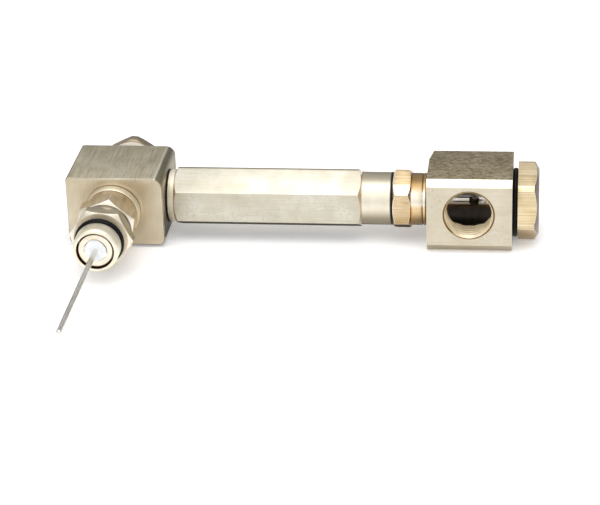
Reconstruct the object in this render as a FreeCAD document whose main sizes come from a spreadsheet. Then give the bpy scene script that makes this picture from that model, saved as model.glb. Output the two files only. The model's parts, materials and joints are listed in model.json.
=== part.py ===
"""Oil burner nozzle assembly: inlet block, hexagonal oil tube, nozzle block and plug-in needle nozzle.

The frame: the origin is on the nozzle's axis, at the rear end of the plug-in spigot's wall, where its
O-ring groove begins. The nozzle points along -Y, the oil tube runs along +X to the inlet block, and +Z
is up. All sizes are in millimetres. Two axes carry the turned pieces: the nozzle axis (along Y through
the origin) and the tube axis (along X, behind it). Places along the nozzle axis are counted from the
shoulder of the nozzle body, which lies one groove_width behind the origin.
"""
import FreeCAD, Part
import os
import re
import sys
from FreeCAD import Placement, Rotation, Vector
import Sketcher as Sketch

doc = FreeCAD.newDocument("OilBurnerNozzle")
sheet = doc.addObject("Spreadsheet::Sheet", "Sizes")

# ---------------------------------------------------------------------------------------------
# Driving sizes
# ---------------------------------------------------------------------------------------------
SIZES = [
    # Fits and seals
    ("thread_clearance", 0.04, "radial play between a male thread and its hole"),
    ("joint_gap", 0.1, "play between two hexes screwed up against each other"),
    ("seal_thickness", 0.45, "thickness of the flat rubber seals"),
    ("seal_radius", 6.8, "outer radius of the flat rubber seals"),
    ("small_thread", 4.86, "major radius of the G1/8 threads of tube, nipple and rear cap"),
    ("small_thread_length", 5.6, "length of those threads"),
    # Hexagons cut from 14 mm bar
    ("hex_across", 14.0, "across flats of the 14 mm hexagons"),
    ("hex_face_drop", 0.15, "how far inside the flats a 14 mm hexagon's end face stops"),
    ("bevel_angle", 30.0, "angle of the turned bevel on hexagon ends"),
    ("corner_room", 0.5, "how far turning outlines stay outside a hexagon's corners"),
    # Nozzle body
    ("spigot_radius", 5.75, "outer radius of the plug-in spigot"),
    ("spigot_length", 4.2, "length of the spigot in front of its O-ring groove"),
    ("spigot_bevel", 0.6, "bevel round the mouth of the spigot"),
    ("mouth_radius", 4.76, "radius of the counterbore in the spigot"),
    ("mouth_depth", 3.5, "depth of that counterbore"),
    ("ring_section", 1.9, "thickness of the spigot's O-ring"),
    ("ring_radius", 6.3, "outer radius of the spigot's O-ring"),
    ("groove_width", 3.1, "width of the spigot's O-ring groove"),
    ("ring_from_shoulder", 0.85, "from the shoulder to the spigot's O-ring"),
    ("body_hex_length", 3.8, "length of the nozzle body's hexagon"),
    ("body_collar", 1.6, "length of the round collar behind that hexagon"),
    ("body_turn", 5.4, "rotation of the nozzle body's hexagon in degrees"),
    ("body_thread", 5.4, "radius of the nozzle body's thread"),
    ("body_thread_length", 7.0, "length of the nozzle body's thread"),
    ("throat_radius", 3.4, "radius of the oil passage past the needle carrier's stem"),
    ("seat_depth", 4.0, "distance of the valve seat behind the shoulder"),
    ("poppet_room", 4.4, "radius of the bore behind the valve seat"),
    # Needle and the parts that slide with it
    ("needle_radius", 0.7, "radius of the needle wire"),
    ("needle_reach", 50.8, "distance of the needle's tip in front of the shoulder"),
    ("needle_tail", 3.0, "distance of the needle's rear end behind the shoulder"),
    ("tip_round", 0.6, "rounding of the needle's tip"),
    ("carrier_radius", 4.29, "radius of the needle carrier's head"),
    ("carrier_recess", 0.5, "how far the carrier's head lies inside the spigot's mouth"),
    ("carrier_head", 1.0, "thickness of the carrier's head"),
    ("stem_radius", 2.4, "radius of the carrier's stem"),
    ("tail_radius", 1.6, "radius of the threaded tail of the carrier"),
    ("tail_length", 4.0, "length of the threaded tail of the carrier"),
    ("bush_radius", 2.78, "radius of the white guide bush's flange"),
    ("bush_flange", 0.7, "thickness of the bush's flange"),
    ("bush_proud", 0.3, "how far the bush stands in front of the carrier's head"),
    ("bush_tail", 1.5, "radius of the bush's tail inside the stem"),
    ("bush_length", 4.6, "length of the bush's tail behind its flange"),
    ("seal_disc_radius", 4.1, "radius of the valve's seal disc"),
    ("seal_disc_thickness", 1.5, "thickness of the valve's seal disc"),
    ("nut_across", 6.0, "across flats of the nut that holds the seal disc"),
    ("nut_thickness", 2.0, "thickness of that nut"),
    ("nut_turn", 0.0, "rotation of that nut in degrees"),
    ("needle_spring_radius", 3.1, "mean radius of the needle's return spring"),
    ("needle_spring_wire", 0.5, "wire diameter of the needle's return spring"),
    ("needle_spring_pitch", 1.5, "pitch of the needle's return spring"),
    # Nozzle adapter and its washer
    ("adapter_hex_length", 5.2, "length of the adapter's hexagon"),
    ("adapter_turn", 40.1, "rotation of the adapter's hexagon in degrees"),
    ("adapter_neck", 3.85, "length of the round neck behind the hexagon"),
    ("adapter_neck_radius", 6.8, "radius of that neck"),
    ("adapter_thread", 6.0, "radius of the adapter's thread in the block"),
    ("adapter_thread_length", 7.2, "length of that thread inside the block"),
    ("spring_room", 4.1, "radius of the spring chamber in the adapter"),
    ("spring_ledge", 17.6, "distance of the spring's ledge behind the shoulder"),
    ("adapter_bore", 2.5, "radius of the adapter's rear bore"),
    ("washer_radius", 7.1, "outer radius of the adapter's sealing washer"),
    ("washer_thickness", 2.4, "thickness of the adapter's sealing washer"),
    ("washer_bevel", 0.3, "how far the bevel on the washer's front edge cuts inwards"),
    ("washer_bevel_length", 0.7, "length of that bevel along the washer"),
    # Nozzle block
    ("block_depth", 22.1, "size of the nozzle block along the nozzle axis"),
    ("block_left", 11.9, "from the nozzle axis to the block's left face"),
    ("block_right", 12.9, "from the nozzle axis to the block's right face"),
    ("block_height", 18.35, "height of the nozzle block"),
    ("block_drop", 0.22, "how far the nozzle block's middle lies below the nozzle axis"),
    ("block_round_right", 2.4, "rounding of the block's upper right long edge"),
    ("block_round_left", 0.8, "rounding of the block's upper left long edge"),
    ("block_round", 1.7, "rounding of the block's lower long edges"),
    ("block_edge", 0.25, "broken edge round the block's front and back faces"),
    ("axis_from_front", 10.55, "from the block's front face to the tube axis"),
    ("chamber_radius", 4.3, "radius of the oil chamber in the nozzle block"),
    ("side_bore", 3.0, "radius of the passage from the tube into the chamber"),
    # Rear cap and nipple: 14 mm hexagon, round neck and thin flange
    ("cap_hex_length", 3.5, "length of the rear cap's hexagon"),
    ("cap_corner", 7.6, "radius that the corners of the cap's hexagon are turned to"),
    ("cap_turn", 34.0, "rotation of the rear cap's hexagon in degrees"),
    ("cap_neck", 6.2, "length of the rear cap's round neck"),
    ("neck_radius", 6.65, "radius of the necks of rear cap and nipple"),
    ("flange_length", 0.75, "thickness of the thin flange at a neck's end"),
    ("flange_groove", 0.2, "width and depth of the groove beside that flange"),
    ("cap_bore", 2.6, "radius of the blind bore in the rear cap"),
    ("cap_bore_depth", 4.0, "depth of that bore"),
    # Oil tube
    ("collar_length", 1.65, "length of the tube's round collar at the nozzle block"),
    ("collar_radius", 6.75, "radius of that collar and of the round end"),
    ("tube_hex_length", 47.9, "length of the tube's hexagon"),
    ("tube_turn", 32.0, "rotation of the tube's hexagon in degrees"),
    ("round_end_length", 7.55, "length of the tube's round end"),
    ("tube_bore", 2.5, "radius of the tube's oil bore"),
    ("valve_room", 4.2, "radius of the check valve's chamber"),
    ("valve_room_length", 18.3, "length of that chamber up to the nipple's end"),
    # Check valve
    ("ball_radius", 3.0, "radius of the check valve's ball"),
    ("ball_seat", 2.0, "radius of the seat edge in the nipple's end"),
    ("ball_spring_radius", 2.2, "mean radius of the check valve's spring"),
    ("ball_spring_wire", 0.4, "wire diameter of the check valve's spring"),
    ("ball_spring_pitch", 1.4, "pitch of the check valve's spring"),
    # Inlet nipple and its strainer
    ("nipple_hex_length", 4.7, "length of the nipple's hexagon"),
    ("nipple_turn", 30.5, "rotation of the nipple's hexagon in degrees"),
    ("nipple_neck", 3.75, "length of the nipple's neck with its flange"),
    ("inlet_thread_length", 4.6, "length of the nipple's thread in the inlet block"),
    ("nipple_bore", 3.2, "radius of the nipple's bore round the strainer"),
    ("strainer_length", 9.0, "length of the strainer thimble"),
    ("strainer_wall", 0.8, "wall of the strainer thimble"),
    # Inlet block
    ("inlet_length", 21.4, "size of the inlet block along the tube"),
    ("inlet_depth", 22.2, "size of the inlet block from front to back"),
    ("inlet_front", 11.2, "from the tube axis to the inlet block's front face"),
    ("inlet_height", 19.7, "height of the inlet block"),
    ("inlet_drop", 0.15, "how far the inlet block's middle lies below the tube axis"),
    ("inlet_bevel_top", 1.65, "bevel of the upper front edge"),
    ("inlet_bevel", 2.3, "bevel of the other long edges"),
    ("taper_width", 8.0, "width of the taper behind on the inlet block's left face"),
    ("taper_depth", 1.35, "depth of that taper at the back"),
    ("chamber_bore", 6.8, "radius of the inlet chamber"),
    ("plug_thread", 6.58, "radius of the G1/4 thread of the end plug"),
    ("plug_thread_length", 5.2, "length of the end plug's thread"),
    ("port_radius", 5.72, "minor radius of the G1/4 inlet port"),
    ("port_countersink", 0.63, "countersink round the inlet port"),
    ("port_offset", 10.6, "from the inlet block's left face to the port's axis"),
    ("port_lift", 0.55, "height of the port's axis above the tube axis"),
    ("screw_hole", 1.25, "radius of the small blind threaded hole inside the back wall"),
    ("screw_hole_floor", 1.2, "metal left behind the small hole"),
    ("screw_hole_offset", 11.3, "from the block's left face to the small hole"),
    ("screw_hole_drop", 3.0, "depth of the small hole's axis below the tube axis"),
    # End plug
    ("plug_across", 18.0, "across flats of the end plug"),
    ("plug_corner", 10.0, "radius that the corners of the end plug's hexagon are turned to"),
    ("plug_turn", 19.5, "rotation of the end plug's hexagon in degrees"),
    ("plug_head", 5.3, "thickness of the end plug's head"),
    ("plug_face_drop", 0.9, "how far inside the flats the plug's outer face stops"),
    ("plug_seal_section", 1.3, "thickness of the end plug's O-ring"),
    ("plug_seal_radius", 8.8, "outer radius of the end plug's O-ring"),
    ("plug_seal_drop", 0.55, "how far the end plug's loose O-ring hangs below the tube axis"),
    ("plug_bore", 4.2, "radius of the blind bore in the end plug"),
    ("plug_bore_depth", 6.0, "depth of that bore"),
]
ALIASES = {alias for alias, value, note in SIZES}

for row, (alias, value, note) in enumerate(SIZES, start=1):
    sheet.set(f"A{row}", note)
    sheet.set(f"B{row}", str(value))
    sheet.setAlias(f"B{row}", alias)
doc.recompute()


def cells(text):
    """An expression in plain size names, with each name turned into its spreadsheet cell."""
    return re.sub(r"[a-z][a-z_]*", lambda m: "Sizes." + m[0] if m[0] in ALIASES else m[0], text)


# ---------------------------------------------------------------------------------------------
# Places that follow from the sizes: along the nozzle axis (+ is backwards), from the shoulder,
# and SHOULDER itself from the frame's origin
# ---------------------------------------------------------------------------------------------
SHOULDER = "groove_width"
SPIGOT_BACK = "(-groove_width)"
SPIGOT_FRONT = f"({SPIGOT_BACK} - spigot_length)"
MOUTH_FLOOR = f"({SPIGOT_FRONT} + mouth_depth)"
BODY_BACK = "(body_hex_length + body_collar)"
BODY_END = f"({BODY_BACK} + body_thread_length)"
ADAPTER_FRONT = f"({BODY_BACK} + joint_gap)"
ADAPTER_HEX_BACK = f"({ADAPTER_FRONT} + adapter_hex_length)"
ADAPTER_SHOULDER = f"({ADAPTER_HEX_BACK} + adapter_neck)"
BLOCK_FRONT = f"({ADAPTER_SHOULDER} + washer_thickness)"
ADAPTER_END = f"({BLOCK_FRONT} + adapter_thread_length)"
BLOCK_BACK = f"({BLOCK_FRONT} + block_depth)"
TUBE_AXIS = f"({BLOCK_FRONT} + axis_from_front)"
CAP_FACE = f"({BLOCK_BACK} + seal_thickness)"
CAP_HEX = f"({CAP_FACE} + cap_neck)"
CAP_END = f"({CAP_HEX} + cap_hex_length)"
CAP_TIP = f"({BLOCK_BACK} - small_thread_length)"
CARRIER_FRONT = f"({SPIGOT_FRONT} + carrier_recess)"
CARRIER_HEAD_BACK = f"({CARRIER_FRONT} + carrier_head)"
BUSH_FRONT = f"({CARRIER_FRONT} - bush_proud)"
BUSH_FLANGE_BACK = f"({BUSH_FRONT} + bush_flange)"
BUSH_END = f"({BUSH_FLANGE_BACK} + bush_length)"
DISC_BACK = "(seat_depth + seal_disc_thickness)"
NUT_BACK = f"({DISC_BACK} + nut_thickness)"
TAIL_END = "(seat_depth + tail_length)"

# Along the tube axis (+X), from the nozzle axis
COLLAR = "(block_right + seal_thickness)"
TUBE_HEX = f"({COLLAR} + collar_length)"
TUBE_ROUND = f"({TUBE_HEX} + tube_hex_length)"
TUBE_END = f"({TUBE_ROUND} + round_end_length)"
TUBE_TIP = "(block_right - small_thread_length)"
NIPPLE_HEX = f"({TUBE_END} + seal_thickness)"
NIPPLE_NECK = f"({NIPPLE_HEX} + nipple_hex_length)"
NIPPLE_FLANGE = f"({NIPPLE_NECK} + nipple_neck - flange_length)"
NIPPLE_FACE = f"({NIPPLE_NECK} + nipple_neck)"
NIPPLE_LEFT = f"({TUBE_END} - small_thread_length)"
INLET_LEFT = f"({NIPPLE_FACE} + seal_thickness)"
NIPPLE_RIGHT = f"({INLET_LEFT} + inlet_thread_length)"
INLET_RIGHT = f"({INLET_LEFT} + inlet_length)"
CHAMBER_LEFT = NIPPLE_RIGHT
PLUG_FACE = f"({INLET_RIGHT} + plug_seal_section)"
PLUG_END = f"({PLUG_FACE} + plug_head)"
PLUG_TIP = f"({INLET_RIGHT} - plug_thread_length)"
BALL_AT = f"({NIPPLE_LEFT} - sqrt(ball_radius ^ 2 - ball_seat ^ 2))"
BALL_SPRING_END = f"({BALL_AT} - sqrt(ball_radius ^ 2 - ball_spring_radius ^ 2) - ball_spring_wire / 2)"
VALVE_ROOM = f"({NIPPLE_LEFT} - valve_room_length)"

HOLE = "small_thread + thread_clearance"            # radius of every G1/8 hole
HEX_FACE = "(hex_across / 2 - hex_face_drop)"       # radius of a 14 mm hexagon's end face
NEAR = 0.01                                         # mm, within which two places count as one


# ---------------------------------------------------------------------------------------------
# Ways of making a piece
# ---------------------------------------------------------------------------------------------
def new_body(label, axis):
    """A body whose local X runs along the nozzle axis (backwards) or along the tube axis."""
    body = doc.addObject("PartDesign::Body", label)
    body.Label = label
    if axis == "nozzle":
        body.Placement = Placement(Vector(0, 0, 0), Rotation(Vector(0, 0, 1), 90))
        body.setExpression("Placement.Base.y", cells(SHOULDER))
    else:
        body.setExpression("Placement.Base.y", cells(f"{SHOULDER} + {TUBE_AXIS}"))
    return body


def new_sketch(body, name, role, offset=(None, None, None)):
    """A sketch on one of the body's own origin planes, moved by offset in the plane's own frame."""
    plane = next(f for f in body.Origin.OriginFeatures if f.Role == role)
    sketch = body.newObject("Sketcher::SketchObject", name)
    sketch.AttachmentSupport = [(plane, "")]
    sketch.MapMode = "FlatFace"
    for letter, text in zip("xyz", offset):
        if text:
            sketch.setExpression(f"AttachmentOffset.Base.{letter}", cells(text))
    return sketch


def pin_point(sketch, geometry, end, x, y):
    """Holds a point of the sketch at the expressions x and y, measured from the sketch's origin."""
    for kind, text in (("DistanceX", x), ("DistanceY", y)):
        index = sketch.addConstraint(Sketch.Constraint(kind, -1, 1, geometry, end, 1.0))
        sketch.setExpression(f"Constraints[{index}]", cells(text))


def closed_outline(sketch, points):
    """A closed outline of straight lines through the points, each point held by its expressions."""
    count = len(points)
    start = [Vector(1, 0, 0)]
    for corner in range(1, count):
        start.append(Rotation(Vector(0, 0, 1), 360.0 * corner / count).multVec(start[0]))
    for corner in range(count):
        sketch.addGeometry(Part.LineSegment(start[corner], start[(corner + 1) % count]))
    for corner in range(count):
        sketch.addConstraint(Sketch.Constraint("Coincident", corner, 2, (corner + 1) % count, 1))
    for corner, (x, y) in enumerate(points):
        pin_point(sketch, corner, 1, x, y)


def spin(body, kind, name, points, axis="H_Axis", offset=(None, None, None)):
    """Revolves a closed outline of (along, radius) points, as material or as a cut."""
    sketch = new_sketch(body, name + "Sketch", "XY_Plane", offset)
    closed_outline(sketch, points)
    feature = body.newObject("PartDesign::" + kind, name)
    feature.Profile = sketch
    feature.ReferenceAxis = (sketch, [axis])
    feature.Angle = 360.0
    body.Tip = feature
    return feature


def bar(body, name, points, start, length):
    """A length of bar along the body's local X, with the section given as (y, z) points."""
    sketch = new_sketch(body, name + "Sketch", "YZ_Plane", (None, None, start))
    closed_outline(sketch, points)
    pad = body.newObject("PartDesign::Pad", name)
    pad.Profile = sketch
    pad.setExpression("Length", cells(length))
    body.Tip = pad
    return pad


def hexagon(across, turn):
    """The six corners of a hexagon of the given size across flats, turned about its middle."""
    corner = f"({across}) / sqrt(3)"
    return [(f"{corner} * cos({turn} + {60 * k})", f"{corner} * sin({turn} + {60 * k})") for k in range(6)]


def hex_outline(start, end, across, drop, bevel_start=True, bevel_end=True, corner=None):
    """Turning outline over a hexagon with a bevel at one or both ends. It stays clear of the corners
    unless they are turned down to the radius corner."""
    clear = corner or f"(({across}) / sqrt(3) + corner_room)"
    face = f"(({across}) / 2 - {drop})"
    back = f"(({clear}) - ({face})) * tan(bevel_angle)"
    points = [(start, face), (f"{start} + {back}", clear)] if bevel_start else [(start, clear)]
    points += [(f"{end} - {back}", clear), (end, face)] if bevel_end else [(end, clear)]
    return points


def turn_down(body, name, outline, across):
    """Cuts away what stands outside a turned outline of (along, radius) points."""
    outside = f"(({across}) / sqrt(3) + 2 * corner_room)"
    return spin(body, "Groove", name, outline + [(outline[-1][0], outside), (outline[0][0], outside)])


def bore(body, name, steps, axis="H_Axis", offset=(None, None, None)):
    """Cuts a stepped round hole. Steps are (along, radius) points in order along the axis."""
    points = [(steps[0][0], "0")] + steps + [(steps[-1][0], "0")]
    if axis == "V_Axis":
        points = [(radius, along) for along, radius in points]
    return spin(body, "Groove", name, points, axis, offset)


def o_ring(label, axis, middle_at, outer_radius, section):
    """An O-ring: a circle turned round the axis."""
    body = new_body(label, axis)
    sketch = new_sketch(body, label + "Section", "XY_Plane")
    sketch.addGeometry(Part.Circle(Vector(0, 5, 0), Vector(0, 0, 1), 0.5))
    pin_point(sketch, 0, 3, middle_at, f"{outer_radius} - {section} / 2")
    index = sketch.addConstraint(Sketch.Constraint("Radius", 0, 0.5))
    sketch.setExpression(f"Constraints[{index}]", cells(f"{section} / 2"))
    ring = body.newObject("PartDesign::Revolution", label + "Ring")
    ring.Profile = sketch
    ring.ReferenceAxis = (sketch, ["H_Axis"])
    ring.Angle = 360.0
    body.Tip = ring
    return body


def coil_spring(label, axis, start, end, radius, wire, pitch):
    """A compression spring between two places along an axis, its wire inside both of them."""
    body = new_body(label, axis)
    sketch = new_sketch(body, label + "Section", "XY_Plane")
    sketch.addGeometry(Part.Circle(Vector(0, 3, 0), Vector(0, 0, 1), 0.2))
    pin_point(sketch, 0, 3, f"{start} + {wire} / 2", radius)
    index = sketch.addConstraint(Sketch.Constraint("Radius", 0, 0.2))
    sketch.setExpression(f"Constraints[{index}]", cells(f"{wire} / 2"))
    helix = body.newObject("PartDesign::AdditiveHelix", label + "Coil")
    helix.Profile = sketch
    helix.ReferenceAxis = (sketch, ["H_Axis"])
    helix.Mode = "pitch-height-angle"
    helix.setExpression("Pitch", cells(pitch))
    helix.setExpression("Height", cells(f"({end}) - ({start}) - {wire}"))
    body.Tip = helix
    return body


def broken_edges(body, name, size, chosen):
    """Chamfers the edges of the body so far that the function chosen picks."""
    doc.recompute()
    base = body.Tip
    whole = base.Shape.BoundBox
    edges = [f"Edge{k}" for k, edge in enumerate(base.Shape.Edges, start=1) if chosen(edge, whole)]
    chamfer = body.newObject("PartDesign::Chamfer", name)
    chamfer.Base = (base, edges)
    chamfer.setExpression("Size", cells(size))
    body.Tip = chamfer


def rounded_edges(body, name, radius, chosen):
    """Fillets the edges of the body so far that the function chosen picks."""
    doc.recompute()
    base = body.Tip
    whole = base.Shape.BoundBox
    edges = [f"Edge{k}" for k, edge in enumerate(base.Shape.Edges, start=1) if chosen(edge, whole)]
    fillet = body.newObject("PartDesign::Fillet", name)
    fillet.Base = (base, edges)
    fillet.setExpression("Radius", cells(radius))
    body.Tip = fillet


# ---------------------------------------------------------------------------------------------
# Nozzle body: 14 mm hexagon, plug-in spigot in front and a thread behind
# ---------------------------------------------------------------------------------------------
def make_nozzle_body():
    body = new_body("nozzle_body", "nozzle")
    bar(body, "BodyBar", hexagon("hex_across", "body_turn"), SPIGOT_FRONT, f"{BODY_END} - {SPIGOT_FRONT}")
    outline = [
        (SPIGOT_FRONT, "spigot_radius - spigot_bevel"),
        (f"{SPIGOT_FRONT} + spigot_bevel", "spigot_radius"),
        (SPIGOT_BACK, "spigot_radius"),
        (SPIGOT_BACK, "ring_radius - ring_section"),
        ("0", "ring_radius - ring_section"),
    ]
    outline += hex_outline("0", "body_hex_length", "hex_across", "hex_face_drop")
    outline += [
        (BODY_BACK, HEX_FACE),
        (BODY_BACK, "body_thread"),
        (BODY_END, "body_thread"),
    ]
    turn_down(body, "BodyTurning", outline, "hex_across")
    bore(body, "BodyBore", [
        (SPIGOT_FRONT, "mouth_radius"),
        (MOUTH_FLOOR, "mouth_radius"),
        (MOUTH_FLOOR, "throat_radius"),
        ("seat_depth", "throat_radius"),
        ("seat_depth", "poppet_room"),
        (BODY_END, "poppet_room"),
    ])


# ---------------------------------------------------------------------------------------------
# The sliding needle: wire, white guide bush, brass carrier, seal disc and nut
# ---------------------------------------------------------------------------------------------
def make_needle_group():
    needle = new_body("nozzle_needle", "nozzle")
    spin(needle, "Revolution", "NeedleWire", [
        ("-needle_reach", "0"),
        ("-needle_reach", "needle_radius"),
        ("needle_tail", "needle_radius"),
        ("needle_tail", "0"),
    ])
    rounded_edges(needle, "NeedleTip", "tip_round",
                  lambda e, whole: e.BoundBox.XMax < whole.XMin + NEAR)

    bush = new_body("needle_bush", "nozzle")
    spin(bush, "Revolution", "BushTurning", [
        (BUSH_FRONT, "needle_radius"),
        (BUSH_FRONT, "bush_radius"),
        (BUSH_FLANGE_BACK, "bush_radius"),
        (BUSH_FLANGE_BACK, "bush_tail"),
        (BUSH_END, "bush_tail"),
        (BUSH_END, "needle_radius"),
    ])

    carrier = new_body("needle_carrier", "nozzle")
    spin(carrier, "Revolution", "CarrierTurning", [
        (CARRIER_FRONT, "bush_radius"),
        (CARRIER_FRONT, "carrier_radius"),
        (CARRIER_HEAD_BACK, "carrier_radius"),
        (CARRIER_HEAD_BACK, "stem_radius"),
        ("seat_depth", "stem_radius"),
        ("seat_depth", "tail_radius"),
        (TAIL_END, "tail_radius"),
        (TAIL_END, "0"),
        ("needle_tail", "0"),
        ("needle_tail", "needle_radius"),
        (BUSH_END, "needle_radius"),
        (BUSH_END, "bush_tail"),
        (BUSH_FLANGE_BACK, "bush_tail"),
        (BUSH_FLANGE_BACK, "bush_radius"),
    ])

    disc = new_body("valve_seal_disc", "nozzle")
    spin(disc, "Revolution", "DiscTurning", [
        ("seat_depth", "tail_radius"),
        ("seat_depth", "seal_disc_radius"),
        (DISC_BACK, "seal_disc_radius"),
        (DISC_BACK, "tail_radius"),
    ])

    nut = new_body("seal_disc_nut", "nozzle")
    bar(nut, "NutBar", hexagon("nut_across", "nut_turn"), DISC_BACK, "nut_thickness")
    bore(nut, "NutThread", [(DISC_BACK, "tail_radius"), (NUT_BACK, "tail_radius")])

    coil_spring("needle_spring", "nozzle", NUT_BACK, "spring_ledge",
                "needle_spring_radius", "needle_spring_wire", "needle_spring_pitch")


# ---------------------------------------------------------------------------------------------
# Nozzle adapter and its sealing washer
# ---------------------------------------------------------------------------------------------
def make_adapter():
    body = new_body("nozzle_adapter", "nozzle")
    bar(body, "AdapterBar", hexagon("hex_across", "adapter_turn"),
        ADAPTER_FRONT, f"{ADAPTER_END} - {ADAPTER_FRONT}")
    outline = hex_outline(ADAPTER_FRONT, ADAPTER_HEX_BACK, "hex_across", "hex_face_drop")
    outline += [
        (ADAPTER_HEX_BACK, "adapter_neck_radius"),
        (ADAPTER_SHOULDER, "adapter_neck_radius"),
        (ADAPTER_SHOULDER, "adapter_thread"),
        (ADAPTER_END, "adapter_thread"),
    ]
    turn_down(body, "AdapterTurning", outline, "hex_across")
    bore(body, "AdapterBore", [
        (ADAPTER_FRONT, "body_thread + thread_clearance"),
        (f"{BODY_END} + joint_gap", "body_thread + thread_clearance"),
        (f"{BODY_END} + joint_gap", "spring_room"),
        ("spring_ledge", "spring_room"),
        ("spring_ledge", "adapter_bore"),
        (ADAPTER_END, "adapter_bore"),
    ])

    washer = new_body("adapter_washer", "nozzle")
    spin(washer, "Revolution", "WasherTurning", [
        (ADAPTER_SHOULDER, "adapter_thread + thread_clearance"),
        (ADAPTER_SHOULDER, "washer_radius - washer_bevel"),
        (f"{ADAPTER_SHOULDER} + washer_bevel_length", "washer_radius"),
        (BLOCK_FRONT, "washer_radius"),
        (BLOCK_FRONT, "adapter_thread + thread_clearance"),
    ])


# ---------------------------------------------------------------------------------------------
# Nozzle block: bar along the nozzle axis, with the oil entering from the right
# ---------------------------------------------------------------------------------------------
def make_nozzle_block():
    body = new_body("nozzle_block", "nozzle")
    left, right = "block_left", "-block_right"
    top, bottom = "(block_height / 2 - block_drop)", "(-block_height / 2 - block_drop)"
    bar(body, "BlockBar", [(left, bottom), (left, top), (right, top), (right, bottom)],
        BLOCK_FRONT, "block_depth")

    def long_edge(edge, whole):
        box = edge.BoundBox
        at_side = box.YMin < whole.YMin + NEAR or box.YMax > whole.YMax - NEAR
        at_top_or_bottom = box.ZMin < whole.ZMin + NEAR or box.ZMax > whole.ZMax - NEAR
        return box.YLength < NEAR and box.ZLength < NEAR and at_side and at_top_or_bottom

    rounded_edges(body, "BlockRoundRight", "block_round_right",
                  lambda e, whole: long_edge(e, whole) and e.BoundBox.YMax < 0 < e.BoundBox.ZMin)
    rounded_edges(body, "BlockRoundLeft", "block_round_left",
                  lambda e, whole: long_edge(e, whole) and min(e.BoundBox.YMin, e.BoundBox.ZMin) > 0)
    rounded_edges(body, "BlockRound", "block_round", long_edge)
    broken_edges(body, "BlockEdges", "block_edge", lambda e, whole: e.BoundBox.XLength < NEAR)
    bore(body, "NozzleBore", [
        (BLOCK_FRONT, "adapter_thread + thread_clearance"),
        (f"{ADAPTER_END} + joint_gap", "adapter_thread + thread_clearance"),
        (f"{ADAPTER_END} + joint_gap", "chamber_radius"),
        (f"{CAP_TIP} - joint_gap", "chamber_radius"),
        (f"{CAP_TIP} - joint_gap", HOLE),
        (BLOCK_BACK, HOLE),
    ])
    bore(body, "TubeBore", [
        ("-block_right", HOLE),
        (f"-{TUBE_TIP} + joint_gap", HOLE),
        (f"-{TUBE_TIP} + joint_gap", "side_bore"),
        ("0", "side_bore"),
    ], "V_Axis", (TUBE_AXIS, None, None))


def make_rear_cap():
    body = new_body("rear_cap", "nozzle")
    bar(body, "CapBar", hexagon("hex_across", "cap_turn"), CAP_TIP, f"{CAP_END} - {CAP_TIP}")
    outline = [
        (CAP_TIP, "small_thread"),
        (CAP_FACE, "small_thread"),
        (CAP_FACE, "neck_radius"),
        (f"{CAP_FACE} + flange_length", "neck_radius"),
        (f"{CAP_FACE} + flange_length", "neck_radius - flange_groove"),
        (f"{CAP_FACE} + flange_length + flange_groove", "neck_radius - flange_groove"),
        (f"{CAP_FACE} + flange_length + flange_groove", "neck_radius"),
        (CAP_HEX, "neck_radius"),
    ]
    outline += hex_outline(CAP_HEX, CAP_END, "hex_across", "hex_face_drop", corner="cap_corner")
    turn_down(body, "CapTurning", outline, "hex_across")
    bore(body, "CapBore", [(CAP_TIP, "cap_bore"), (f"{CAP_TIP} + cap_bore_depth", "cap_bore")])


# ---------------------------------------------------------------------------------------------
# Oil tube with the check valve in its right-hand end
# ---------------------------------------------------------------------------------------------
def make_oil_tube():
    body = new_body("oil_tube", "tube")
    bar(body, "TubeBar", hexagon("hex_across", "tube_turn"), TUBE_TIP, f"{TUBE_END} - {TUBE_TIP}")
    outline = [
        (TUBE_TIP, "small_thread"),
        (COLLAR, "small_thread"),
        (COLLAR, "collar_radius"),
        (TUBE_HEX, "collar_radius"),
    ]
    outline += hex_outline(TUBE_HEX, TUBE_ROUND, "hex_across", "hex_face_drop")
    outline += [(TUBE_ROUND, "collar_radius"), (TUBE_END, "collar_radius")]
    turn_down(body, "TubeTurning", outline, "hex_across")
    bore(body, "TubeBore", [
        (TUBE_TIP, "tube_bore"),
        (VALVE_ROOM, "tube_bore"),
        (VALVE_ROOM, "valve_room"),
        (f"{NIPPLE_LEFT} - joint_gap", "valve_room"),
        (f"{NIPPLE_LEFT} - joint_gap", HOLE),
        (TUBE_END, HOLE),
    ])


def make_check_valve():
    ball = doc.addObject("Part::Sphere", "check_ball")
    ball.Label = "check_ball"
    ball.setExpression("Radius", cells("ball_radius"))
    ball.setExpression("Placement.Base.x", cells(BALL_AT))
    ball.setExpression("Placement.Base.y", cells(f"{SHOULDER} + {TUBE_AXIS}"))
    coil_spring("check_spring", "tube", VALVE_ROOM, BALL_SPRING_END,
                "ball_spring_radius", "ball_spring_wire", "ball_spring_pitch")


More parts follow.
